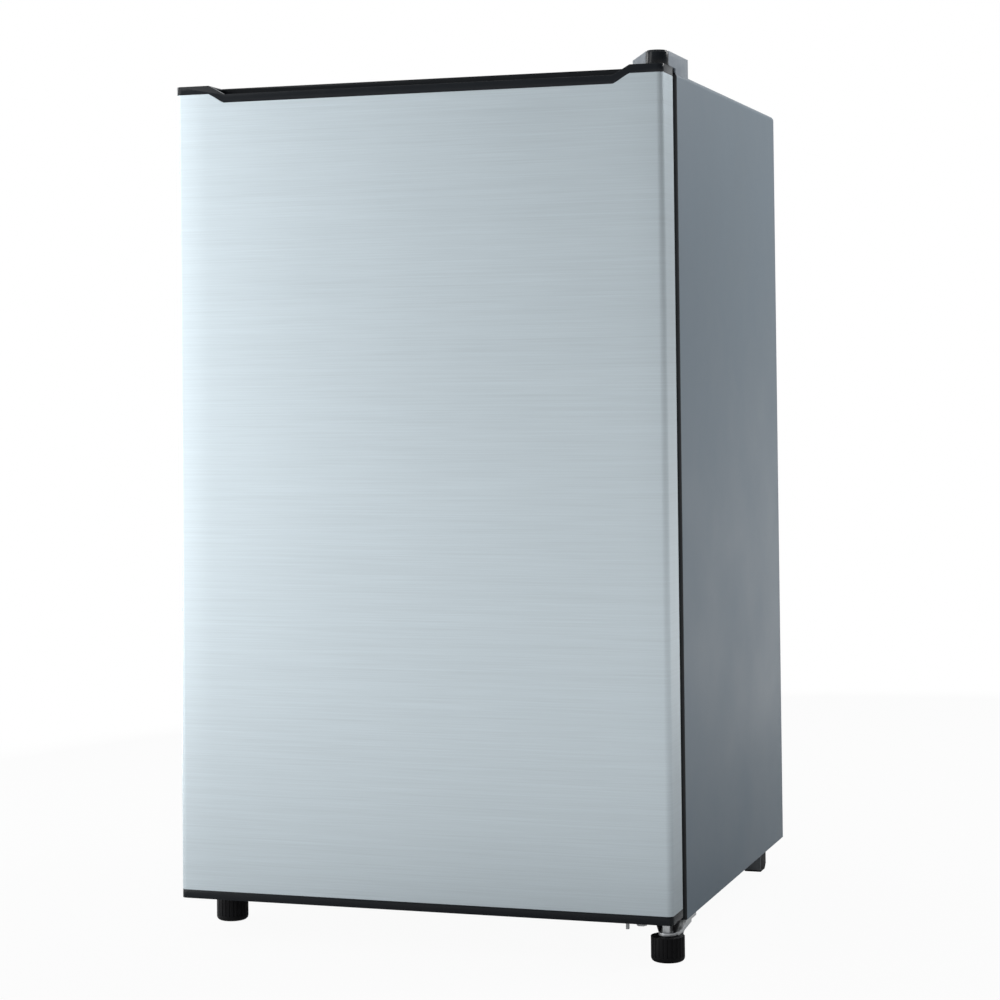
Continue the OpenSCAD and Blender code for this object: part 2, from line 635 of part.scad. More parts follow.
// ---------- compressor bay ----------
// Cross plate between the cabinet's sides, turned up along both sides and with a tab for the cord.
module base_plate() color(cabinet_grey) difference() {
    x = half - steel - touch;
    union() {
        box([-x, bay_y + 1, z_cab], [x, y_rear - steel - touch, plate_top]);
        both_sides() box([x - 2, bay_y + 8, z_cab], [x, y_rear - 10, z_cab + 18]);
        along_y(y_rear - 6, y_rear - 4) round_rect(cord_x - 18, z_cab, cord_x + 18, z_cab + 36, 5);
    }
    mounts() rod([0, 0, z_cab - through], bolt_hole_r, 6);
    rod_y([cord_x, y_rear - 10, cord_z], gland_r, 10);
}
// Sheet in front of each rear foot, hung under the base plate.
module rear_foot_brackets() color(cabinet_grey) both_sides()
    box([half - 38, foot_y0 - 2, 2], [half - 15.5, foot_y0 - touch, z_cab - touch]);
module compressor() color(black) translate([comp[0], comp[1], comp_z]) rotate_extrude() {
    difference() {
        union() {
            rect(0, 0, comp_r - 22, comp_h);
            rect(0, 22, comp_r, comp_h - 22);
            for (z = [22, comp_h - 22]) translate([comp_r - 22, z]) circle(22);
            rect(0, comp_h / 2 - 2, comp_r + 2.5, comp_h / 2 + 2);
        }
        rect(-60, -through, 0, comp_h + through);
    }
}
module mounts() for (sx = [-1, 1], sy = [-1, 1])
    translate([comp[0] + sx * mount_hole[0], comp[1] + sy * mount_hole[1], 0]) children();
module compressor_mount() color(black) difference() {
    along_z(comp_z - 3, comp_z - touch)
        round_rect(comp[0] - 80, comp[1] - 50, comp[0] + 80, comp[1] + 50, 10);
    mounts() rod([0, 0, comp_z - 5], grommet_r, 10);
}
module compressor_grommets() color([0.15, 0.15, 0.15]) mounts() difference() {
    union() {
        rod([0, 0, plate_top], grommet_r - touch, comp_z + 4 - plate_top);
        rod([0, 0, plate_top], grommet_r + 2, comp_z - 3 - touch - plate_top);
        rod([0, 0, comp_z], grommet_r + 2, 4);
    }
    rod([0, 0, plate_top - through], bolt_hole_r, 60);
}
module compressor_bolts() color(zinc) mounts() {
    rod([0, 0, z_cab - 2], bolt_r, comp_z + 5 - z_cab);
    translate([0, 0, comp_z + 4 + touch]) cylinder(r = 7.5, h = 5, $fn = 6);
}
module terminal_cover() color(black) translate([comp[0] + comp_r + 3, comp[1], comp_z + 20])
    along_z(0, 40) round_rect(0, -26, 30, 26, 5);
// Serpentine of straight passes joined by half-turn bends.
module condenser_tube() color(black) {
    r = cond_pitch / 2;
    for (i = [0:passes - 1])
        rod_x([-cond_x + r, cond_y, cond_z0 + i * cond_pitch], tube_r, 2 * (cond_x - r));
    for (i = [0:passes - 2]) {
        s = i % 2 == 0 ? -1 : 1;
        translate([s * (cond_x - r), cond_y, cond_z0 + (i + 0.5) * cond_pitch]) rotate([90, 0, 0])
            rotate(s < 0 ? 90 : -90) rotate_extrude(angle = 180) translate([r, 0]) circle(tube_r);
    }
}
module condenser_wires() color(black) for (s = [-1, 1], i = [0:wires - 1])
    rod([-cond_x + 32 + i * (2 * cond_x - 64) / (wires - 1), cond_y + s * (tube_r + wire_r + 0.05),
        cond_z0 - 12], wire_r, (passes - 1) * cond_pitch + 24);
// Four clips on the back panel that grip the tube near its ends.
module condenser_standoffs() color(black) for (x = [-clip_x, clip_x], i = [1, passes - 2]) {
    z = cond_z0 + i * cond_pitch;
    difference() {
        along_y(y_rear - steel, cond_y + 3.6)
            round_rect(x - clip_w / 2, z - 9, x + clip_w / 2, z + 9, 3);
        rod_x([-cond_x, cond_y, z], tube_r + run, 2 * cond_x);
    }
}
// Copper tube from the compressor to the condenser, to the drier, and up to the bay's ceiling.
module refrigerant_lines() color(copper) {
    r = line_r;
    y = y_rear - 12;
    end_x = cond_x - cond_pitch / 2;
    tube([[comp[0] + comp_r + 3, comp[1], comp_z + 100], [60, comp[1], comp_z + 100],
        [60, y, comp_z + 100], [end_x + 12, y, comp_z + 100], [end_x + 12, cond_y, comp_z + 100],
        [end_x + 12, cond_y, cond_z0], [end_x + tube_r + 0.2, cond_y, cond_z0]], r);
    top = cond_z0 + (passes - 1) * cond_pitch;
    tube([[end_x + tube_r + 0.2, cond_y, top], [line_x, cond_y, top], [line_x, cond_y, comp_z + 130],
        [line_x, y - 20, comp_z + 130], [line_x, y - 20, comp_z + 112]], r);
    tube([[line_x, y - 20, comp_z + 32], [line_x, y - 20, comp_z + 20], [110, y - 20, comp_z + 20],
        [110, bay_y + 25, comp_z + 20], [110, bay_y + 25, bay_z - 0.2 - r]], r / 2);
    rod([comp[0] + 20, comp[1] - 20, comp_z + comp_h + touch], r, bay_z - comp_z - comp_h - 2 * touch);
}
module filter_drier() color(copper) translate([line_x, y_rear - 32, comp_z + 36])
rotate_extrude() difference() {
    union() {
        rect(0, 6, 8.5, 66);
        for (z = [6, 66]) translate([2.5, z]) circle(6);
        rect(0, 0, 3, 72);
    }
    rect(-10, -through, 0, 80);
}
module panel_screws() color(zinc) {
    for (s = [-1, 1], z = [bay_z + 30, (bay_z + z_roof) / 2, z_roof - 60])
        rod_y([s * (half - 9), y_rear, z], 3.6, 2);
    for (x = [-150, 0, 150]) rod_y([x, y_rear, z_roof - 9], 3.6, 2);
}
// Rubber bushing in the base plate's tab, where a power cord passes.
module cord_gland() color([0.12, 0.12, 0.12]) difference() {
    union() {
        rod_y([cord_x, y_rear - 9, cord_z], gland_r - touch, 8);
        rod_y([cord_x, y_rear - 10, cord_z], gland_r + 3, 4 - touch);
        rod_y([cord_x, y_rear - 4 + touch, cord_z], gland_r + 3, 4);
    }
    rod_y([cord_x, y_rear - 20, cord_z], cord_r, 30);
}

// ---------- which node to draw ----------
cabinet_shell();
back_panel();
base_panel();
foam_insulation();
inner_liner();
evaporator();
evaporator_hangers();
freezer_frame();
thermostat_housing();
thermostat_switch();
top_hinge_plate();
top_hinge_pin();
hinge_cover();
hinge_nose_cap();
bottom_hinge_bracket();
bottom_hinge_pin();
hinge_screws();
left_foot_insert();
rear_feet();
rear_foot_brackets();
base_plate();
compressor();
compressor_mount();
compressor_grommets();
compressor_bolts();
terminal_cover();
condenser_tube();
condenser_wires();
condenser_standoffs();
refrigerant_lines();
filter_drier();
panel_screws();
cord_gland();
door_skin();
door_top_cap();
door_bottom_cap();
door_foam();
door_liner();
door_gasket();
top_door_bush();
bottom_door_bush();
hinge_shroud();
freezer_flap();
drip_tray();
upper_shelf_glass();
upper_shelf_trim();
lower_shelf_glass();
lower_shelf_trim();
crisper_cover_glass();
crisper_cover_trim();
crisper_drawer();
thermostat_knob();
upper_rack();
middle_rack();
lower_rack();
bottle_rail();
left_foot_stud();
left_foot_base();
right_foot_stud();
right_foot_base();
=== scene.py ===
"""Looks of a compact single-door refrigerator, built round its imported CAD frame.

All lengths are in metres in the CAD's own frame: +Z up, the door faces -Y, +X towards the hinges.
"""

import math

import bmesh
import bpy
from mathutils import Matrix, Vector


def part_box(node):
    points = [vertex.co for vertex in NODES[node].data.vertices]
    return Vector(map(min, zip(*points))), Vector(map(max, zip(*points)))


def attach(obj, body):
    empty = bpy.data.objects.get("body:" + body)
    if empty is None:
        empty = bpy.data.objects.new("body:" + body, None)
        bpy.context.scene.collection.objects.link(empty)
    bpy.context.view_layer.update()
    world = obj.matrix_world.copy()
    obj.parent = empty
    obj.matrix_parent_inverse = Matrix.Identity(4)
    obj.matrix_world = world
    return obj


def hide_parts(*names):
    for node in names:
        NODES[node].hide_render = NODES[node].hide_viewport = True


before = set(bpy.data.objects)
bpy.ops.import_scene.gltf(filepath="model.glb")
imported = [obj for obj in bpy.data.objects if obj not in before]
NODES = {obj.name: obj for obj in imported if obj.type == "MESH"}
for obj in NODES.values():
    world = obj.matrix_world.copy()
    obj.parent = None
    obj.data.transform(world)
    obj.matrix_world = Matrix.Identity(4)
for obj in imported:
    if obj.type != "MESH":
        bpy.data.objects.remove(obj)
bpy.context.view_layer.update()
scene = bpy.context.scene
MM = 0.001


# ---------------------------------------------------------------- the frame's main planes
skin_lo, skin_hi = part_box("door_skin")
shell_lo, shell_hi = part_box("cabinet_shell")
HALF = skin_hi.x
Y_FRONT, Y_DOOR = skin_lo.y, skin_hi.y
Y_CAB, Y_REAR = shell_lo.y, shell_hi.y
Z_CAB, Z_ROOF = shell_lo.z, shell_hi.z
Z_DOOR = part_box("door_bottom_cap")[0].z


# ---------------------------------------------------------------- mesh helpers
def finish_mesh(name, bm, sharp=35.0, closed=True):
    """Turns a bmesh into a shaded object in the scene. An open shell keeps the side it shows."""
    bmesh.ops.remove_doubles(bm, verts=bm.verts, dist=1e-6)
    if closed:
        bmesh.ops.recalc_face_normals(bm, faces=bm.faces)
    mesh = bpy.data.meshes.new(name)
    bm.to_mesh(mesh)
    bm.free()
    for face in mesh.polygons:
        face.use_smooth = True
    mesh.set_sharp_from_angle(angle=math.radians(sharp))
    piece = bpy.data.objects.new(name, mesh)
    scene.collection.objects.link(piece)
    return piece


def place(piece, body, slot, replaces=(), material=None):
    """Gives a new piece its body and the material of its slot, or the one named, and hides the CAD
    nodes it replaces.
    """
    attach(piece, body)
    piece.data.materials.clear()
    piece.data.materials.append(MATERIALS[material or slot])
    if replaces:
        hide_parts(*replaces)


def add_modifier(piece, kind, **values):
    modifier = piece.modifiers.new(kind.title(), kind)
    for key, value in values.items():
        setattr(modifier, key, value)
    return modifier


def soften(piece, width, segments, angle):
    """Rounds a piece's hard edges and keeps its flat faces flat."""
    add_modifier(piece, "BEVEL", width=width, segments=segments, limit_method="ANGLE",
                 angle_limit=math.radians(angle), harden_normals=True)


def quarter(steps):
    """Angles from 0 to 90 degrees, in radians."""
    return [math.radians(90 * i / steps) for i in range(steps + 1)]


def arc(radius, start, end, steps, cx, cz):
    """(x, z) points on an arc, angles in degrees."""
    points = []
    for i in range(steps + 1):
        a = math.radians(start + (end - start) * i / steps)
        points.append((cx + radius * math.cos(a), cz + radius * math.sin(a)))
    return points


def rounded_rect(half_x, z0, z1, radius, steps):
    """(x, z) points round a rectangle with rounded corners. They start at the lower right."""
    points = []
    for side, z, start in ((1, z0, -90), (1, z1, 0), (-1, z1, 90), (-1, z0, 180)):
        cx = side * (half_x - radius)
        cz = z + radius if z == z0 else z - radius
        points += arc(radius, start, start + 90, steps, cx, cz)
    return points


def loft(bm, rings, closed=True):
    """Skins rings that have the same number of points. Returns the rings' vertices."""
    rows = [[bm.verts.new(p) for p in ring] for ring in rings]
    count = len(rows[0])
    last = count if closed else count - 1
    for a, b in zip(rows, rows[1:]):
        for i in range(last):
            j = (i + 1) % count
            bm.faces.new((a[i], a[j], b[j], b[i]))
    return rows


def add_block(bm, lo, hi, radius=0.0, segments=2):
    """Adds one box with rounded edges to a bmesh."""
    made = bmesh.ops.create_cube(bm, size=1.0)
    size = Vector(hi) - Vector(lo)
    centre = (Vector(hi) + Vector(lo)) / 2
    matrix = Matrix.Translation(centre) @ Matrix.Diagonal((*size, 1))
    bmesh.ops.transform(bm, matrix=matrix, verts=made["verts"])
    if radius > 0:
        edges = list({e for v in made["verts"] for e in v.link_edges})
        bmesh.ops.bevel(bm, geom=edges, offset=radius, segments=segments, profile=0.5,
                        affect="EDGES")


def add_lathe(bm, profile, centre, axis="Z", steps=48):
    """Turns (radius, height) points about an axis. Points on the axis close the ends."""
    turn = {"Z": Matrix.Identity(3), "X": Matrix.Rotation(math.radians(90), 3, "Y")}[axis]
    rows = []
    for radius, height in profile:
        if radius < 1e-7:
            rows.append([bm.verts.new(Vector(centre) + turn @ Vector((0, 0, height)))])
            continue
        ring = []
        for i in range(steps):
            a = 2 * math.pi * i / steps
            point = Vector((radius * math.cos(a), radius * math.sin(a), height))
            ring.append(bm.verts.new(Vector(centre) + turn @ point))
        rows.append(ring)
    for a, b in zip(rows, rows[1:]):
        for i in range(steps):
            j = (i + 1) % steps
            if len(a) == 1 and len(b) > 1:
                bm.faces.new((a[0], b[j], b[i]))
            elif len(b) == 1 and len(a) > 1:
                bm.faces.new((a[i], a[j], b[0]))
            elif len(a) > 1:
                bm.faces.new((a[i], a[j], b[j], b[i]))


def bend_route(points, radius, steps=8):
    """A polyline whose corners are rounded to that radius, as far as the legs leave room."""
    points = [Vector(p) for p in points]
    longest = 0.49          # share of a leg that one bend may use
    route = [points[0]]
    for before, corner, after in zip(points, points[1:], points[2:]):
        d0, d1 = (before - corner), (after - corner)
        half_angle = d0.angle(d1) / 2
        reach = min(radius / math.tan(half_angle), d0.length * longest, d1.length * longest)
        bend = reach * math.tan(half_angle)
        u0, u1 = d0.normalized(), d1.normalized()
        centre = corner + (u0 + u1).normalized() * (bend / math.sin(half_angle))
        a, b = corner + u0 * reach - centre, corner + u1 * reach - centre
        whole = a.angle(b)
        axis = a.cross(b).normalized()
        for i in range(steps + 1):
            route.append(centre + Matrix.Rotation(whole * i / steps, 3, axis) @ a)
    route.append(points[-1])
    return route


def add_tube(bm, route, radius, sides=16):
    """Sweeps a circle along a route, without twist, and closes both ends."""
    route = [Vector(p) for p in route]
    tangents = []
    for i in range(len(route)):
        a, b = route[max(i - 1, 0)], route[min(i + 1, len(route) - 1)]
        tangents.append((b - a).normalized())
    up = tangents[0].orthogonal().normalized()
    rings = []
    for i, (point, tangent) in enumerate(zip(route, tangents)):
        if i:
            up = tangents[i - 1].rotation_difference(tangent) @ up
        up = (up - tangent * up.dot(tangent)).normalized()
        side = tangent.cross(up)
        rings.append([point + radius * (math.cos(a) * up + math.sin(a) * side)
                      for a in (2 * math.pi * k / sides for k in range(sides))])
    rows = loft(bm, rings)
    bm.faces.new(rows[0][::-1])
    bm.faces.new(rows[-1])


# ---------------------------------------------------------------- materials
def map_range(tree, value, start, end, low, high, smooth=False):
    """Node that maps a value from start..end to low..high."""
    made = tree.nodes.new("ShaderNodeMapRange")
    if smooth:
        made.interpolation_type = "SMOOTHSTEP"
    for key, number in (("From Min", start), ("From Max", end), ("To Min", low), ("To Max", high)):
        made.inputs[key].default_value = number
    tree.links.new(value, made.inputs["Value"])
    return made.outputs["Result"]


class Shader:
    """A Principled material under construction, in object coordinates."""

    def __init__(self, name, colour, roughness, metallic=0.0, **sockets):
        self.material = bpy.data.materials.new(name)
        self.material.use_nodes = True
        self.tree = self.material.node_tree
        self.main = self.tree.nodes["Principled BSDF"]
        self.main.inputs["Metallic"].default_value = metallic
        self.main.inputs["Roughness"].default_value = roughness
        self.main.inputs["Base Color"].default_value = (*colour, 1)
        for key, value in sockets.items():
            self.main.inputs[key.replace("_", " ")].default_value = value
        self.coordinates = self.tree.nodes.new("ShaderNodeTexCoord")
        self.height = None
        self.colour = colour

    def node(self, kind, **values):
        made = self.tree.nodes.new(kind)
        for key, value in values.items():
            setattr(made, key, value)
        return made

    def link(self, a, b):
        self.tree.links.new(a, b)

    def noise(self, scale, detail=3.0, rough=0.55, stretch=(1, 1, 1)):
        """Noise in object space, stretched along an axis by a smaller factor there."""
        mapping = self.node("ShaderNodeMapping")
        mapping.inputs["Scale"].default_value = stretch
        texture = self.node("ShaderNodeTexNoise")
        texture.inputs["Scale"].default_value = scale
        texture.inputs["Detail"].default_value = detail
        texture.inputs["Roughness"].default_value = rough
        self.link(self.coordinates.outputs["Object"], mapping.inputs["Vector"])
        self.link(mapping.outputs["Vector"], texture.inputs["Vector"])
        return texture.outputs["Fac"]

    def blend(self, a, b, share):
        """Mixes two values, with that share of the second."""
        made = self.node("ShaderNodeMix")
        made.inputs["Factor"].default_value = share
        self.link(a, made.inputs["A"])
        self.link(b, made.inputs["B"])
        return made.outputs["Result"]

    def spread(self, value, low, high):
        """Maps the middle of a noise's range to low..high."""
        return map_range(self.tree, value, 0.3, 0.7, low, high)

    def tint(self, value, amount):
        """Varies the base colour by plus and minus amount."""
        mix = self.node("ShaderNodeMix", data_type="RGBA")
        dark = [c * (1 - amount) for c in self.colour]
        light = [min(1.0, c * (1 + amount)) for c in self.colour]
        mix.inputs["A"].default_value = (*dark, 1)
        mix.inputs["B"].default_value = (*light, 1)
        self.link(self.spread(value, 0, 1), mix.inputs["Factor"])
        self.link(mix.outputs["Result"], self.main.inputs["Base Color"])

    def rough(self, value, low, high):
        self.link(self.spread(value, low, high), self.main.inputs["Roughness"])

    def bump(self, value, strength, distance):
        """Adds one layer of bump on top of the ones before."""
        made = self.node("ShaderNodeBump")
        made.inputs["Strength"].default_value = strength
        made.inputs["Distance"].default_value = distance
        self.link(value, made.inputs["Height"])
        if self.height:
            self.link(self.height, made.inputs["Normal"])
        self.height = made.outputs["Normal"]
        self.link(self.height, self.main.inputs["Normal"])


def brushed_skin():
    """Brushed metal foil: fine horizontal strokes, a few longer ones, over a faint cloudiness."""
    s = Shader("brushed_skin", (0.545, 0.615, 0.655), 0.38, metallic=0.8, Anisotropic=0.4)
    fine = s.noise(1.0, detail=2.0, rough=0.6, stretch=(14, 14, 2600))
    broad = s.noise(1.0, detail=3.0, rough=0.65, stretch=(5, 5, 520))
    cloud = s.noise(5.0, detail=2.0)
    strokes = s.blend(fine, broad, 0.4)
    s.tint(strokes, 0.075)
    s.rough(s.blend(strokes, cloud, 0.3), 0.34, 0.44)
    s.bump(fine, 0.07, 0.0002)
    s.bump(broad, 0.04, 0.0003)
    return s.material


def painted(name, colour, roughness, grain, depth, mottle=0.05, coat=0.0):
    """Paint or enamel on sheet: fine orange peel, cloudy gloss."""
    s = Shader(name, colour, roughness, Coat_Weight=coat, Coat_Roughness=0.12)
    cloud = s.noise(9.0, detail=4.0)
    s.tint(cloud, mottle)
    s.rough(cloud, roughness * 0.92, roughness * 1.10)
    s.bump(s.noise(grain, detail=1.0), depth, 0.0002)
    return s.material


def plastic(name, colour, roughness, grain=1800.0, depth=0.04, mottle=0.03, uneven=0.15, **sockets):
    """Moulded plastic: slightly uneven gloss, a little flow mottling and fine texture."""
    s = Shader(name, colour, roughness, **sockets)
    s.tint(s.noise(14.0, detail=3.0), mottle)
    s.rough(s.noise(60.0, detail=3.0), roughness * (1 - uneven), roughness * (1 + uneven))
    s.bump(s.noise(grain, detail=1.0), depth, 0.0002)
    return s.material


def metal(name, colour, roughness, mottle=0.10, streak=(1, 1, 1), scale=120.0, metallic=1.0):
    """Plated or bare metal with a cloudy finish."""
    s = Shader(name, colour, roughness, metallic=metallic)
    cloud = s.noise(scale, detail=4.0, stretch=streak)
    s.tint(cloud, mottle)
    s.rough(s.noise(scale * 2.5, detail=3.0, stretch=streak), roughness * 0.75, roughness * 1.35)
    s.bump(cloud, 0.05, 0.0002)
    return s.material


def foam_material():
    """Rigid foam with open cells."""
    s = Shader("foam", (0.80, 0.66, 0.38), 0.85)
    cells = s.node("ShaderNodeTexVoronoi")
    cells.inputs["Scale"].default_value = 500
    s.link(s.coordinates.outputs["Object"], cells.inputs["Vector"])
    s.tint(s.noise(20.0), 0.12)
    s.bump(cells.outputs["Distance"], 0.5, 0.0008)
    return s.material


# Maker, colour, roughness and what differs from the maker's own values
RECIPES = {
    "cabinet_paint": (painted, (0.106, 0.146, 0.183), 0.42,
                      {"grain": 900.0, "depth": 0.08, "mottle": 0.03}),
    # near-black paint on the front fold: painted shade for the gap between door and cabinet
    "frame_paint": (painted, (0.012, 0.014, 0.017), 0.60,
                    {"grain": 900.0, "depth": 0.08, "mottle": 0.03}),
    "rear_paint": (painted, (0.20, 0.215, 0.23), 0.55,
                   {"grain": 500.0, "depth": 0.12, "mottle": 0.08}),
    "gloss_black": (plastic, (0.007, 0.009, 0.012), 0.22,
                    {"grain": 700.0, "depth": 0.02, "Specular_IOR_Level": 0.20}),
    "cover_plastic": (plastic, (0.17, 0.20, 0.235), 0.42, {"depth": 0.08}),
    "foot_plastic": (plastic, (0.005, 0.005, 0.006), 0.55,
                     {"depth": 0.12, "Specular_IOR_Level": 0.15}),
    "gasket": (plastic, (0.009, 0.010, 0.012), 0.75, {"depth": 0.06, "Specular_IOR_Level": 0.15}),
    "rubber": (plastic, (0.018, 0.018, 0.018), 0.75, {"depth": 0.15}),
    "white_liner": (plastic, (0.80, 0.815, 0.815), 0.30,
                    {"grain": 500.0, "depth": 0.02, "mottle": 0.006, "uneven": 0.03}),
    "white_plastic": (plastic, (0.76, 0.775, 0.78), 0.32,
                      {"depth": 0.02, "mottle": 0.008, "uneven": 0.05}),
    "bush_plastic": (plastic, (0.70, 0.69, 0.64), 0.40, {}),
    "switch_plastic": (plastic, (0.06, 0.06, 0.065), 0.5, {}),
    "flap_plastic": (plastic, (0.60, 0.74, 0.83), 0.25,
                     {"depth": 0.02, "mottle": 0.01, "uneven": 0.05, "Alpha": 0.80}),
    "clear_plastic": (plastic, (0.78, 0.88, 0.92), 0.12,
                      {"depth": 0.02, "mottle": 0.01, "Alpha": 0.38}),
    "rack_plastic": (plastic, (0.84, 0.90, 0.93), 0.18,
                     {"depth": 0.02, "mottle": 0.01, "Alpha": 0.58}),
    "shelf_glass": (plastic, (0.52, 0.74, 0.68), 0.03,
                    {"grain": 8.0, "depth": 0.01, "mottle": 0.01, "Alpha": 0.24}),
    "evaporator_aluminium": (metal, (0.66, 0.67, 0.68), 0.36, {"streak": (1, 0.15, 1)}),
    "zinc": (metal, (0.70, 0.715, 0.725), 0.40, {"mottle": 0.06, "scale": 260.0, "metallic": 0.85}),
    "copper": (metal, (0.62, 0.28, 0.16), 0.30, {"mottle": 0.06, "scale": 60.0}),
    "compressor_paint": (painted, (0.010, 0.010, 0.011), 0.30,
                         {"grain": 700.0, "depth": 0.06, "coat": 0.3}),
    "condenser_paint": (painted, (0.012, 0.012, 0.013), 0.38, {"grain": 900.0, "depth": 0.08}),
}
MATERIALS = {"brushed_skin": brushed_skin()}
for recipe_name, (maker, base_colour, base_roughness, own_values) in RECIPES.items():
    MATERIALS[recipe_name] = maker(recipe_name, base_colour, base_roughness, **own_values)
MATERIALS["foam"] = foam_material()


# ---------------------------------------------------------------- CAD nodes that keep their shape
def dress(node, slot, width):
    """Gives a CAD node its material, welds its faces together and rounds its edges by width."""
    piece = NODES[node]
    piece.data.materials.clear()
    piece.data.materials.append(MATERIALS[slot])
    for face in piece.data.polygons:
        face.use_smooth = True
        face.material_index = 0
    add_modifier(piece, "WELD", merge_threshold=1e-5)
    if width:
        add_modifier(piece, "DECIMATE", decimate_type="DISSOLVE", angle_limit=math.radians(0.5))
        soften(piece, width, 3, 35.0)
    else:
        add_modifier(piece, "EDGE_SPLIT", split_angle=math.radians(35))


# Slot and edge radius in mm; 0 keeps the edges as they are
DRESSED = {
    "back_panel": ("rear_paint", 0.0), "base_panel": ("rear_paint", 0.3),
    "foam_insulation": ("foam", 0.0), "door_foam": ("foam", 0.0),
    "evaporator_hangers": ("white_plastic", 0.5), "freezer_frame": ("white_plastic", 1.0),
    "thermostat_housing": ("white_plastic", 1.0), "thermostat_switch": ("switch_plastic", 0.4),
    "top_hinge_plate": ("zinc", 0.3), "top_hinge_pin": ("zinc", 0.2),
    "hinge_cover": ("cover_plastic", 0.6), "hinge_nose_cap": ("gloss_black", 0.3),
    "bottom_hinge_bracket": ("zinc", 0.35), "bottom_hinge_pin": ("zinc", 0.3),
    "hinge_screws": ("zinc", 0.4), "left_foot_insert": ("zinc", 0.2),
    "rear_feet": ("foot_plastic", 1.2), "rear_foot_brackets": ("rear_paint", 0.3),
    "base_plate": ("rear_paint", 0.3),
    "compressor_mount": ("compressor_paint", 0.6), "compressor_grommets": ("rubber", 0.8),
    "compressor_bolts": ("zinc", 0.4), "terminal_cover": ("foot_plastic", 1.2),
    "condenser_tube": ("condenser_paint", 0.0), "condenser_wires": ("condenser_paint", 0.0),
    "condenser_standoffs": ("foot_plastic", 0.5), "filter_drier": ("copper", 0.0),
    "panel_screws": ("zinc", 0.3), "cord_gland": ("rubber", 0.8),
    "door_top_cap": ("gloss_black", 0.9), "door_bottom_cap": ("gloss_black", 0.9),
    "top_door_bush": ("bush_plastic", 0.2), "bottom_door_bush": ("bush_plastic", 0.2),
    "hinge_shroud": ("foot_plastic", 0.3), "drip_tray": ("clear_plastic", 0.5),
    "upper_shelf_glass": ("shelf_glass", 0.5), "upper_shelf_trim": ("white_plastic", 0.6),
    "lower_shelf_glass": ("shelf_glass", 0.5), "lower_shelf_trim": ("white_plastic", 0.6),
    "crisper_cover_glass": ("shelf_glass", 0.5), "crisper_cover_trim": ("white_plastic", 0.6),
    "crisper_drawer": ("clear_plastic", 0.7),
    "upper_rack": ("rack_plastic", 0.7), "middle_rack": ("rack_plastic", 0.7),
    "lower_rack": ("rack_plastic", 0.7), "bottle_rail": ("white_plastic", 0.8),
    "left_foot_stud": ("zinc", 0.0), "right_foot_stud": ("zinc", 0.0),
    "left_foot_base": ("foot_plastic", 0.3), "right_foot_base": ("foot_plastic", 0.3),
    "evaporator": ("evaporator_aluminium", 0.3),
}
for node_name, (slot_name, width_mm) in DRESSED.items():
    dress(node_name, slot_name, width_mm * MM)


# ---------------------------------------------------------------- door
def door_skin():
    """Brushed wrap over the door's front and sides, its upper edge lowered along the grip notch."""
    corner, hem, hem_bend = 6 * MM, 10 * MM, 0.6 * MM
    thickness = 0.8 * MM
    left = [(-HALF + hem, Y_DOOR), (-HALF + hem_bend, Y_DOOR), (-HALF, Y_DOOR - hem_bend)]
    turn = arc(corner, 180, 270, 10, -HALF + corner, Y_FRONT + corner)
    z_low, z_high = skin_lo.z, skin_hi.z
    notch_x, notch_half = 2 * MM, 210 * MM
    drop, run, lip = 9 * MM, 16 * MM, 7 * MM
    below_notch = 20 * MM
    x0, x1 = notch_x - notch_half, notch_x + notch_half

    def top(x, y):
        """Height of the upper edge, with the slope's ends eased."""
        if y > Y_FRONT + lip:
            return z_high
        share = min(max(min(x - x0, x1 - x) / run, 0.0), 1.0)
        smooth = share * share * (3 - 2 * share)
        return z_high - drop * (0.75 * share + 0.25 * smooth)

    columns, slope_steps = 12, 8
    xs = [-HALF + corner + (HALF - corner) * 2 * i / columns for i in range(1, columns)]
    for start, sign in ((x0, 1), (x1, -1)):
        xs += [start + sign * run * i / slope_steps for i in range(slope_steps + 1)]
    xs += [-0.12, 0.0, 0.12]
    xs = sorted({round(x, 6) for x in xs})
    plan = left + turn + [(x, Y_FRONT) for x in xs if abs(x) < HALF - corner - MM]
    plan += [(-x, y) for x, y in (left + turn)[::-1]]
    bm = bmesh.new()
    levels = (z_low, (z_low + z_high) / 2, z_high - below_notch)
    rows = [[(x, y, z) for x, y in plan] for z in levels]
    rows.append([(x, y, top(x, y)) for x, y in plan])
    loft(bm, rows, closed=False)
    piece = finish_mesh("door_skin_panel", bm)
    add_modifier(piece, "SOLIDIFY", thickness=thickness, offset=-1.0)
    soften(piece, 0.25 * MM, 2, 60.0)
    place(piece, "door", "brushed_skin", ["door_skin"])


# Gasket's section in mm: distance in from the outer edge, height over the liner
GASKET_SECTION = [
    (0.3, 0.0), (0.0, 0.8), (0.0, 3.4), (0.6, 4.3), (2.8, 5.0), (3.4, 5.6), (2.8, 6.3),
    (0.7, 7.2), (0.1, 8.0), (0.0, 9.0), (0.0, 12.4), (0.4, 13.2), (1.3, 13.7), (8.6, 13.7),
    (9.3, 13.4), (10.0, 13.7), (16.7, 13.7), (17.6, 13.2), (18.0, 12.4), (18.0, 9.2),
    (17.3, 8.4), (14.6, 7.6), (14.0, 6.8), (14.8, 6.0), (17.2, 5.0), (18.0, 4.0), (18.0, 0.8),
    (17.6, 0.0),
]


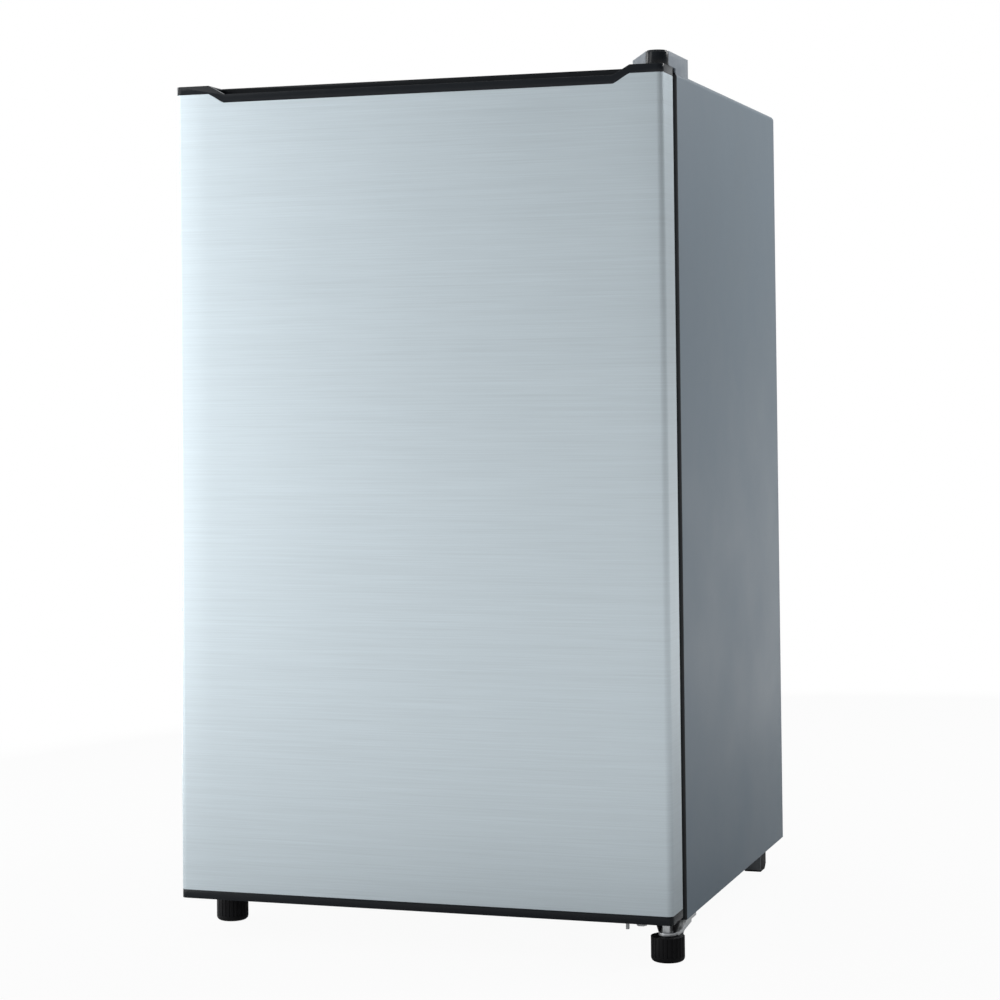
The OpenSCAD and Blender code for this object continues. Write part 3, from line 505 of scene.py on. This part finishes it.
def door_gasket():
    """Magnetic gasket: foot in the liner, bellows, and a soft magnet pocket with a rounded face."""
    lo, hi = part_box("door_gasket")
    outer_r, least_r = 0.3 * MM, 0.05 * MM
    tallest = max(height for _, height in GASKET_SECTION) * MM
    scale = (hi.y - lo.y) / tallest
    rings = []
    for inset_mm, height_mm in GASKET_SECTION:
        inset, y = inset_mm * MM, lo.y + height_mm * MM * scale
        outline = rounded_rect(hi.x - inset, lo.z + inset, hi.z - inset,
                               max(outer_r - inset, least_r), steps=1)
        rings.append([(x, y, z) for x, z in outline])
    rings.append(rings[0])
    bm = bmesh.new()
    loft(bm, rings)
    piece = finish_mesh("door_gasket_bellows", bm, 50.0)
    place(piece, "door", "gasket", ["door_gasket"])


def door_liner():
    """Vacuum-formed inner door: flat rim, rounded ridge all round, recessed panel, rack bosses."""
    lo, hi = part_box("door_liner")
    ridge_x, corner = 196 * MM, 20 * MM
    z0, z1 = Z_CAB + 45 * MM, Z_ROOF - 51 * MM
    ridge_width, fillet = 10 * MM, 4 * MM
    crown_mid, crown_r = 5.4 * MM, 4.6 * MM
    panel_y = Y_DOOR + 0.9 * MM

    def ridge_ring(out, y):
        """Ring along the ridge's outer edge, moved outwards by out."""
        outline = rounded_rect(ridge_x + out, z0 - out, z1 + out, corner + out, steps=8)
        return [(x, y, z) for x, z in outline]

    rim = rounded_rect(hi.x, lo.z, hi.z, 1.0 * MM, steps=8)
    rings = [[(x, lo.y, z) for x, z in rim], [(x, Y_DOOR, z) for x, z in rim]]
    for a in quarter(5):
        rings.append(ridge_ring(fillet * (1 - math.sin(a)), Y_DOOR + fillet * (1 - math.cos(a))))
    for i in range(7):
        a = math.radians(180 * i / 6)
        rings.append(ridge_ring(crown_r * math.cos(a) - crown_mid,
                                hi.y - crown_r + crown_r * math.sin(a)))
    for a in quarter(4):
        rings.append(ridge_ring(-ridge_width - fillet * (1 - math.cos(a)),
                                panel_y + fillet * (1 - math.sin(a))))
    bm = bmesh.new()
    rows = loft(bm, rings)
    bm.faces.new(rows[-1])
    bm.faces.new(rows[0][::-1])
    for name in ("lower_rack", "middle_rack", "upper_rack"):
        rack_lo, rack_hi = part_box(name)
        inner, outer = rack_hi.x - 4 * MM, rack_hi.x + 3 * MM
        for side in (-1, 1):
            xs = sorted((side * inner, side * outer))
            add_block(bm, (xs[0], rack_lo.y + 9.5 * MM, rack_lo.z + 2 * MM),
                      (xs[1], rack_lo.y + 20.5 * MM, rack_lo.z + 18 * MM), 1.2 * MM, 3)
    piece = finish_mesh("door_inner_panel", bm, 32.0)
    place(piece, "door", "white_liner", ["door_liner"])


# ---------------------------------------------------------------- cabinet
def wrap_ring(inset, y):
    """Points from the right side's lower edge over the roof to the left's, moved in by inset."""
    roof_r, least_r = 5.0 * MM, 0.02 * MM
    r = max(roof_r - inset, least_r)
    half = HALF - inset
    ring = [(half, y, Z_CAB)]
    ring += [(x, y, z) for x, z in arc(r, 0, 90, 8, half - r, Z_ROOF - inset - r)]
    ring += [(x, y, z) for x, z in arc(r, 90, 180, 8, -half + r, Z_ROOF - inset - r)]
    ring.append((-half, y, Z_CAB))
    return ring


def sheet(name, profile):
    """Bent sheet that follows (inset, y) points round the sides and the roof."""
    bm = bmesh.new()
    loft(bm, [wrap_ring(inset, y) for inset, y in profile], closed=False)
    piece = finish_mesh(name, bm)
    add_modifier(piece, "SOLIDIFY", thickness=1.2 * MM, offset=-1.0, use_even_offset=True)
    soften(piece, 0.25 * MM, 2, 60.0)
    return piece


def cabinet_wrap():
    """Painted sheet over sides and roof with folded edges. Its front fold carries painted shade:
    near-black paint that stands in for the shade in the gap behind the door.
    """
    fold, front_r, rear_r = 18 * MM, 2.4 * MM, 4.0 * MM
    bend = [(front_r * (1 - math.sin(a)), Y_CAB + front_r * (1 - math.cos(a)))
            for a in quarter(8)]
    rear = [(rear_r * (1 - math.cos(a)), Y_REAR - rear_r * (1 - math.sin(a)))
            for a in quarter(7)]
    shade_paint_edge = 7          # point of the bend where the painted shade of the front fold ends
    front = sheet("cabinet_front_gap_shade", [(fold, Y_CAB)] + bend[:shade_paint_edge + 1])
    place(front, "cabinet", None, material="frame_paint")
    # Strip across the lower front, painted near black as shade for the gap behind the door
    bm = bmesh.new()
    add_block(bm, (-HALF + fold, Y_CAB - 0.15 * MM, Z_CAB + 0.5 * MM),
              (HALF - fold, Y_CAB + 0.3 * MM, Z_CAB + fold))
    strip = finish_mesh("cabinet_front_gap_shade_strip", bm)
    place(strip, "cabinet", None, material="frame_paint")
    wrap = sheet("cabinet_wrap", bend[shade_paint_edge:] + rear + [(fold, Y_REAR)])
    place(wrap, "cabinet", "cabinet_paint", ["cabinet_shell"])


def food_liner():
    """Vacuum-formed compartment: flat rim, rounded corners, a drafted step over the compressor."""
    wall, corner, rim_r = 1.8 * MM, 11 * MM, 4 * MM
    lo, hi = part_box("inner_liner")
    half = 206 * MM
    z0, z1 = Z_CAB + 39 * MM, Z_ROOF - 41 * MM
    y1 = hi.y - wall
    step_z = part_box("crisper_cover_glass")[0].z
    step_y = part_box("crisper_drawer")[1].y + 6 * MM
    low_r, high_r, draft = 8 * MM, 6 * MM, 3 * MM

    path = []               # distance outwards, y, height of the floor
    for a in quarter(5):
        path.append((rim_r * (1 - math.sin(a)), Y_CAB + rim_r * (1 - math.cos(a)), z0))
    for a in quarter(6):
        path.append((0.0, step_y - draft - low_r + low_r * math.sin(a),
                     z0 + low_r * (1 - math.cos(a))))
    for a in quarter(6):
        path.append((0.0, step_y + high_r * (1 - math.cos(a)),
                     step_z - high_r + high_r * math.sin(a)))
    for a in quarter(6):
        path.append((-corner * (1 - math.cos(a)), y1 - corner + corner * math.sin(a), step_z))

    rim = rounded_rect(hi.x, lo.z, hi.z, 1.0 * MM, steps=8)
    rings = [[(x, Y_CAB, z) for x, z in rim]]
    for out, y, floor in path:
        radius = max(corner + out, 0.3 * MM)
        outline = rounded_rect(half + out, floor - out, z1 + out, radius, steps=8)
        rings.append([(x, y, z) for x, z in outline])
    bm = bmesh.new()
    rows = loft(bm, rings)
    bm.faces.new(rows[-1])
    piece = finish_mesh("food_liner", bm, 40.0, closed=False)
    add_modifier(piece, "SOLIDIFY", thickness=wall, offset=-1.0)
    place(piece, "cabinet", "white_liner", ["inner_liner"])
    shelf_ledges(half, step_z, step_y - 5 * MM, y1 - 25 * MM)


def shelf_ledges(half, step_z, step_end, rear_end):
    """Ledges on both side walls, a hair under the shelves, the tray and the crisper's cover."""
    play, height, into_wall = 0.06 * MM, 6 * MM, 0.8 * MM
    inner, outer = half - 8 * MM, half + into_wall
    y0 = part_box("upper_shelf_trim")[0].y + 12 * MM
    levels = [(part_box(n)[0].z, rear_end)
              for n in ("upper_shelf_glass", "lower_shelf_glass", "drip_tray")]
    levels.append((step_z, step_end))
    bm = bmesh.new()
    for z, end_y in levels:
        for side in (-1, 1):
            xs = sorted((side * inner, side * outer))
            add_block(bm, (xs[0], y0, z - height), (xs[1], end_y, z - play), 2.0 * MM, 4)
    place(finish_mesh("shelf_ledges", bm), "cabinet", "white_liner")


# ---------------------------------------------------------------- freezer
def evaporator_channels():
    """Raised refrigerant channels of the roll-bonded box, on its floor, ceiling and both sides."""
    lo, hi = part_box("evaporator")
    y0, y1 = lo.y + 22 * MM, hi.y - 24 * MM
    x0, x1 = lo.x + 22 * MM, hi.x - 22 * MM
    z0, z1 = lo.z + 24 * MM, hi.z - 24 * MM
    sunk, channel_r, turn_r = 0.2 * MM, 3 * MM, 9 * MM
    bm = bmesh.new()

    def serpentine(lanes):
        """Channel that runs to and fro along Y over (x, z) lanes."""
        points = []
        for i, (x, z) in enumerate(lanes):
            ends = [(x, y0, z), (x, y1, z)]
            points += ends if i % 2 == 0 else ends[::-1]
        add_tube(bm, bend_route(points, turn_r), channel_r, 12)

    for z in (lo.z + sunk, hi.z - sunk):
        serpentine([(x0 + (x1 - x0) * i / 8, z) for i in range(9)])
    for x in (lo.x + sunk, hi.x - sunk):
        serpentine([(x, z0 + (z1 - z0) * i / 3) for i in range(4)])
    piece = finish_mesh("evaporator_channels", bm, 50.0)
    place(piece, "cabinet", "evaporator_aluminium")


def freezer_flap():
    """Moulded flap: a frame round a thin ribbed panel, a finger grip below and two hinge pins."""
    lo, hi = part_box("freezer_flap")
    half_t = 4 * MM
    y_mid = hi.y - half_t
    x0, x1 = lo.x + 6 * MM, hi.x - 6 * MM
    z0, z1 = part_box("freezer_frame")[0].z + 5 * MM, hi.z
    rim, lap, panel_lap, rib_gap = 9 * MM, 3 * MM, 4 * MM, 4 * MM
    bm = bmesh.new()
    bars = [(x0, z0, x1, z0 + rim), (x0, z1 - rim, x1, z1),
            (x0, z0 + lap, x0 + rim, z1 - lap), (x1 - rim, z0 + lap, x1, z1 - lap)]
    for xa, za, xb, zb in bars:
        add_block(bm, (xa, y_mid - half_t, za), (xb, y_mid + half_t, zb), 1.6 * MM, 3)
    add_block(bm, (x0 + panel_lap, y_mid - 2.2 * MM, z0 + panel_lap),
              (x1 - panel_lap, y_mid, z1 - panel_lap), 0.4 * MM, 1)
    ribs, rib_half, margin = 21, 1.1 * MM, 7 * MM
    for i in range(ribs):
        x = x0 + rim + margin + (x1 - x0 - 2 * rim - 2 * margin) * i / (ribs - 1)
        add_block(bm, (x - rib_half, y_mid - 3.2 * MM, z0 + rim + rib_gap),
                  (x + rib_half, y_mid - 1.5 * MM, z1 - rim - rib_gap), 0.7 * MM, 2)
    add_block(bm, (-55 * MM, lo.y, z0), (10 * MM, y_mid - 2 * MM, z0 + 6 * MM), 2.0 * MM, 3)
    pin_r, pin_l, chamfer = 2.5 * MM, 8 * MM, 0.3 * MM
    pin = [(0, 0), (pin_r - chamfer, 0), (pin_r, chamfer), (pin_r, pin_l - chamfer),
           (pin_r - chamfer, pin_l), (0, pin_l)]
    for x in (lo.x, hi.x - pin_l):
        add_lathe(bm, pin, (x, y_mid, z1 - 4 * MM), "X", 24)
    piece = finish_mesh("freezer_flap_panel", bm)
    place(piece, "freezer_flap", "flap_plastic", ["freezer_flap"])


def thermostat_knob():
    """Knob with a fluted skirt and a rounded grip bar."""
    lo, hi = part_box("thermostat_knob")
    cx, cz = (lo.x + hi.x) / 2, (lo.z + hi.z) / 2
    face_y = lo.y + 6 * MM
    radius, flutes, flute_depth = 17 * MM, 36, 0.35 * MM
    profile = [(1.0, hi.y), (0.0, hi.y - 1.0 * MM), (0.0, face_y + 1.6 * MM),
               (0.5, face_y + 0.5 * MM), (1.6, face_y), (9.0, face_y)]
    rings = []
    for inset_mm, y in profile:
        ring = []
        for i in range(flutes * 4):
            fluted = inset_mm < 1.2 and i % 4 in (1, 2)
            a = 2 * math.pi * i / (flutes * 4)
            r = radius - inset_mm * MM - flute_depth * fluted
            ring.append((cx + r * math.cos(a), y, cz + r * math.sin(a)))
        rings.append(ring)
    bm = bmesh.new()
    rows = loft(bm, rings)
    bm.faces.new(rows[0])
    bm.faces.new(rows[-1])
    grip_half, grip_reach = 3 * MM, 15 * MM
    add_block(bm, (cx - grip_half, lo.y, cz - grip_reach),
              (cx + grip_half, face_y + 1 * MM, cz + grip_reach), 1.6 * MM, 4)
    place(finish_mesh("thermostat_dial", bm, 40.0), "thermostat_knob", "white_plastic",
          ["thermostat_knob"])
    thermostat_marks(cx, cz, radius + 3.2 * MM)


def thermostat_marks(cx, cz, radius):
    """Seven strokes on the housing round the knob, the first and the last longer."""
    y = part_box("thermostat_housing")[0].y
    first, pitch = 240, 50
    bm = bmesh.new()
    for i in range(7):
        made = bmesh.ops.create_cube(bm, size=1.0)
        length = (3.4 if i in (0, 6) else 2.4) * MM
        turn = Matrix.Rotation(-math.radians(first - pitch * i), 4, "Y")
        shape = Matrix.Diagonal((length, 0.3 * MM, 0.8 * MM, 1))
        matrix = Matrix.Translation((cx, y, cz)) @ turn @ Matrix.Translation((radius, 0, 0)) @ shape
        bmesh.ops.transform(bm, matrix=matrix, verts=made["verts"])
    place(finish_mesh("thermostat_marks", bm), "cabinet", "switch_plastic")


# ---------------------------------------------------------------- compressor bay
def compressor():
    """Two deep-drawn halves with a welded seam."""
    lo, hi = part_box("compressor")
    centre = ((lo.x + hi.x) / 2, (lo.y + hi.y) / 2, lo.z)
    radius, seam, foot_r, dome = 60 * MM, 62.4 * MM, 8 * MM, 34 * MM
    height = hi.z - lo.z
    middle = height * 0.5
    top_r = radius - 0.8 * MM
    profile = [(0, 0)]
    profile += [(radius - foot_r + foot_r * math.sin(a), foot_r * (1 - math.cos(a)))
                for a in quarter(6)]
    profile += [(radius, middle - 5 * MM), (radius + 0.8 * MM, middle - 3 * MM),
                (seam, middle - 2.6 * MM), (seam, middle + 0.2 * MM),
                (radius + 0.6 * MM, middle + 0.8 * MM), (top_r, middle + 3 * MM)]
    for a in quarter(12)[1:]:
        profile.append((top_r * math.cos(a) ** 0.8, height - dome + dome * math.sin(a)))
    profile[-1] = (0, height)
    bm = bmesh.new()
    add_lathe(bm, profile, centre, "Z", 72)
    piece = finish_mesh("compressor_can", bm, 40.0)
    place(piece, "cabinet", "compressor_paint", ["compressor"])


def refrigerant_lines():
    """Bent copper lines from the can to the condenser, down to the drier, and up into the foam."""
    can_lo, can_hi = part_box("compressor")
    cond_lo, cond_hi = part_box("condenser_tube")
    drier_lo, drier_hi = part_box("filter_drier")
    cx, cy = (can_lo.x + can_hi.x) / 2, (can_lo.y + can_hi.y) / 2
    cond_y = (cond_lo.y + cond_hi.y) / 2
    drier_x, drier_y = (drier_lo.x + drier_hi.x) / 2, (drier_lo.y + drier_hi.y) / 2
    r = 2.4 * MM
    rear_y, bay_y = Y_REAR - 12 * MM, Y_REAR - 138 * MM
    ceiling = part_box("base_panel")[1].z - 1.4 * MM
    first_z, last_z = cond_lo.z + r, cond_hi.z - r
    pitch = (last_z - first_z) / 11
    end_x = cond_hi.x - r - pitch / 2 - 2 * MM
    out_x, turn_x, cap_x = 190.5 * MM, 60 * MM, 110 * MM
    rise = can_lo.z + 100 * MM
    bm = bmesh.new()
    discharge = [(cx + 57 * MM, cy, rise), (turn_x, cy, rise), (turn_x, rear_y, rise),
                 (out_x, rear_y, rise), (out_x, cond_y, rise), (out_x, cond_y, first_z),
                 (end_x, cond_y, first_z)]
    add_tube(bm, bend_route(discharge, 13 * MM), r)
    over = rise + 30 * MM
    liquid = [(end_x, cond_y, last_z), (drier_x, cond_y, last_z), (drier_x, cond_y, over),
              (drier_x, drier_y, over), (drier_x, drier_y, drier_hi.z - 2 * MM)]
    add_tube(bm, bend_route(liquid, 12 * MM), r)
    low, front_y = drier_lo.z - 16 * MM, bay_y + 25 * MM
    capillary = [(drier_x, drier_y, drier_lo.z + 2 * MM), (drier_x, drier_y, low),
                 (cap_x, drier_y, low), (cap_x, front_y, low), (cap_x, front_y, ceiling)]
    add_tube(bm, bend_route(capillary, 9 * MM), r / 2, 12)
    stub_x, stub_y = cx + 20 * MM, cy - 20 * MM
    suction = [(stub_x, stub_y, can_hi.z - 8 * MM), (stub_x, stub_y, ceiling)]
    add_tube(bm, suction, r * 1.15)
    collar = [(0, 0), (4.4 * MM, 0), (4.4 * MM, 4 * MM), (3.2 * MM, 6 * MM), (0, 6 * MM)]
    add_lathe(bm, collar, (stub_x, stub_y, can_hi.z - 4 * MM), "Z", 24)
    piece = finish_mesh("copper_lines", bm, 50.0)
    place(piece, "cabinet", "copper", ["refrigerant_lines"])


door_skin()
door_gasket()
door_liner()
cabinet_wrap()
food_liner()
evaporator_channels()
freezer_flap()
thermostat_knob()
compressor()
refrigerant_lines()


# ---------------------------------------------------------------- studio
# Strength of the room's light: front and rear factors, left and right factors
ROOM_FRONT, ROOM_REAR = 0.375, 0.62
ROOM_LEFT, ROOM_RIGHT = 1.65, 0.35
ROOM_TINT = (0.95, 0.98, 1.0, 1)
# Floor: how much of it glows white for the camera, and where it has faded into the room
FLOOR_GLOW = 0.95
FLOOR_CENTRE = (0.35, 0.35, 0.0)
FADE_START, FADE_END = 0.45, 1.5
# Lamps: place, target, size and power
LAMPS = {
    "key": ((-1.15, -1.15, 0.75), (-0.1, -0.25, 0.5), (0.7, 1.5), 9),
    "top": ((0.0, 0.3, 2.6), (0.0, 0.0, 0.4), (2.2, 2.2), 18),
    "side": ((1.5, 1.1, 1.7), (0.24, 0.1, 0.6), (1.2, 1.0), 24),
    "rim": ((-1.5, 0.12, 0.5), (-0.24, -0.25, 0.45), (0.7, 1.6), 16),
}


def surroundings():
    """White room as the camera sees it. Its light is dim in front and right, brighter behind."""
    world = bpy.data.worlds.new("studio")
    scene.world = world
    world.use_nodes = True
    tree = world.node_tree
    tree.nodes.clear()
    direction = tree.nodes.new("ShaderNodeTexCoord")
    axes = tree.nodes.new("ShaderNodeSeparateXYZ")
    tree.links.new(direction.outputs["Generated"], axes.inputs["Vector"])
    grade = map_range(tree, axes.outputs["Y"], -0.2, 0.95, ROOM_FRONT, ROOM_REAR, smooth=True)
    across = map_range(tree, axes.outputs["X"], -1.0, 1.0, ROOM_LEFT, ROOM_RIGHT)
    strength = tree.nodes.new("ShaderNodeMath")
    strength.operation = "MULTIPLY"
    tree.links.new(grade, strength.inputs[0])
    tree.links.new(across, strength.inputs[1])
    lighting = tree.nodes.new("ShaderNodeBackground")
    lighting.inputs["Color"].default_value = ROOM_TINT
    tree.links.new(strength.outputs["Value"], lighting.inputs["Strength"])
    white = tree.nodes.new("ShaderNodeBackground")
    white.inputs["Color"].default_value = (1, 1, 1, 1)
    ray = tree.nodes.new("ShaderNodeLightPath")
    mix = tree.nodes.new("ShaderNodeMixShader")
    tree.links.new(ray.outputs["Is Camera Ray"], mix.inputs["Fac"])
    tree.links.new(lighting.outputs["Background"], mix.inputs[1])
    tree.links.new(white.outputs["Background"], mix.inputs[2])
    output = tree.nodes.new("ShaderNodeOutputWorld")
    tree.links.new(mix.outputs["Shader"], output.inputs["Surface"])


def pale_floor():
    """Floor that takes a faint shadow near the object and fades into the white room further out."""
    bm = bmesh.new()
    bmesh.ops.create_grid(bm, x_segments=2, y_segments=2, size=30)
    floor = finish_mesh("floor", bm)
    pale = Shader("floor_pale", (0.45, 0.45, 0.45), 0.8, Specular_IOR_Level=0.2)
    pale.tint(pale.noise(3.0), 0.004)
    distance = pale.node("ShaderNodeVectorMath", operation="DISTANCE")
    distance.inputs[1].default_value = FLOOR_CENTRE
    pale.link(pale.coordinates.outputs["Object"], distance.inputs[0])
    fade = map_range(pale.tree, distance.outputs["Value"], FADE_START, FADE_END, 0.0, 1.0,
                     smooth=True)
    ray = pale.node("ShaderNodeLightPath")
    seen = pale.node("ShaderNodeMath", operation="MULTIPLY")
    seen.inputs[1].default_value = FLOOR_GLOW
    pale.link(ray.outputs["Is Camera Ray"], seen.inputs[0])
    share = pale.node("ShaderNodeMath", operation="MAXIMUM")
    pale.link(fade, share.inputs[0])
    pale.link(seen.outputs["Value"], share.inputs[1])
    glow = pale.node("ShaderNodeEmission")
    mix = pale.node("ShaderNodeMixShader")
    pale.link(share.outputs["Value"], mix.inputs["Fac"])
    pale.link(pale.main.outputs["BSDF"], mix.inputs[1])
    pale.link(glow.outputs["Emission"], mix.inputs[2])
    pale.link(mix.outputs["Shader"], pale.tree.nodes["Material Output"].inputs["Surface"])
    floor.data.materials.append(pale.material)


def area_light(name, location, target, size, power):
    """Rectangular lamp that faces target."""
    data = bpy.data.lights.new(name, "AREA")
    data.shape = "RECTANGLE"
    data.size, data.size_y = size
    data.energy = power
    lamp = bpy.data.objects.new(name, data)
    lamp.location = location
    lamp.rotation_mode = "QUATERNION"
    lamp.rotation_quaternion = (Vector(target) - Vector(location)).to_track_quat("-Z", "Y")
    lamp.visible_camera = False
    scene.collection.objects.link(lamp)


def studio():
    """White room, pale floor and soft lamps: by the door's left edge, above, right and left."""
    scene.view_settings.view_transform = "Standard"
    scene.view_settings.look = "None"
    surroundings()
    pale_floor()
    for name, (location, target, size, power) in LAMPS.items():
        area_light(name, location, target, size, power)


def camera():
    """Long lens from the front right: tilted up a little, shifted down, slightly rolled."""
    yaw, pitch, roll = math.radians(18.06), math.radians(1.45), math.radians(-0.61)
    place_x, before_door, above_door_foot = 0.8057, 2.2054, 0.4922
    data = bpy.data.cameras.new("camera")
    data.lens, data.sensor_width = 90.3, 36.0
    data.shift_x, data.shift_y = -0.0012, -0.1822
    made = bpy.data.objects.new("camera", data)
    level = Vector((-math.sin(yaw), math.cos(yaw), 0))
    forward = math.cos(pitch) * level + math.sin(pitch) * Vector((0, 0, 1))
    right = Vector((math.cos(yaw), math.sin(yaw), 0))
    up = right.cross(forward)
    right, up = (math.cos(roll) * right + math.sin(roll) * up,
                 -math.sin(roll) * right + math.cos(roll) * up)
    turn = Matrix((right, up, -forward)).transposed()
    position = (place_x, Y_FRONT - before_door, Z_DOOR + above_door_foot)
    made.matrix_world = Matrix.Translation(position) @ turn.to_4x4()
    scene.collection.objects.link(made)
    scene.camera = made


studio()
camera()
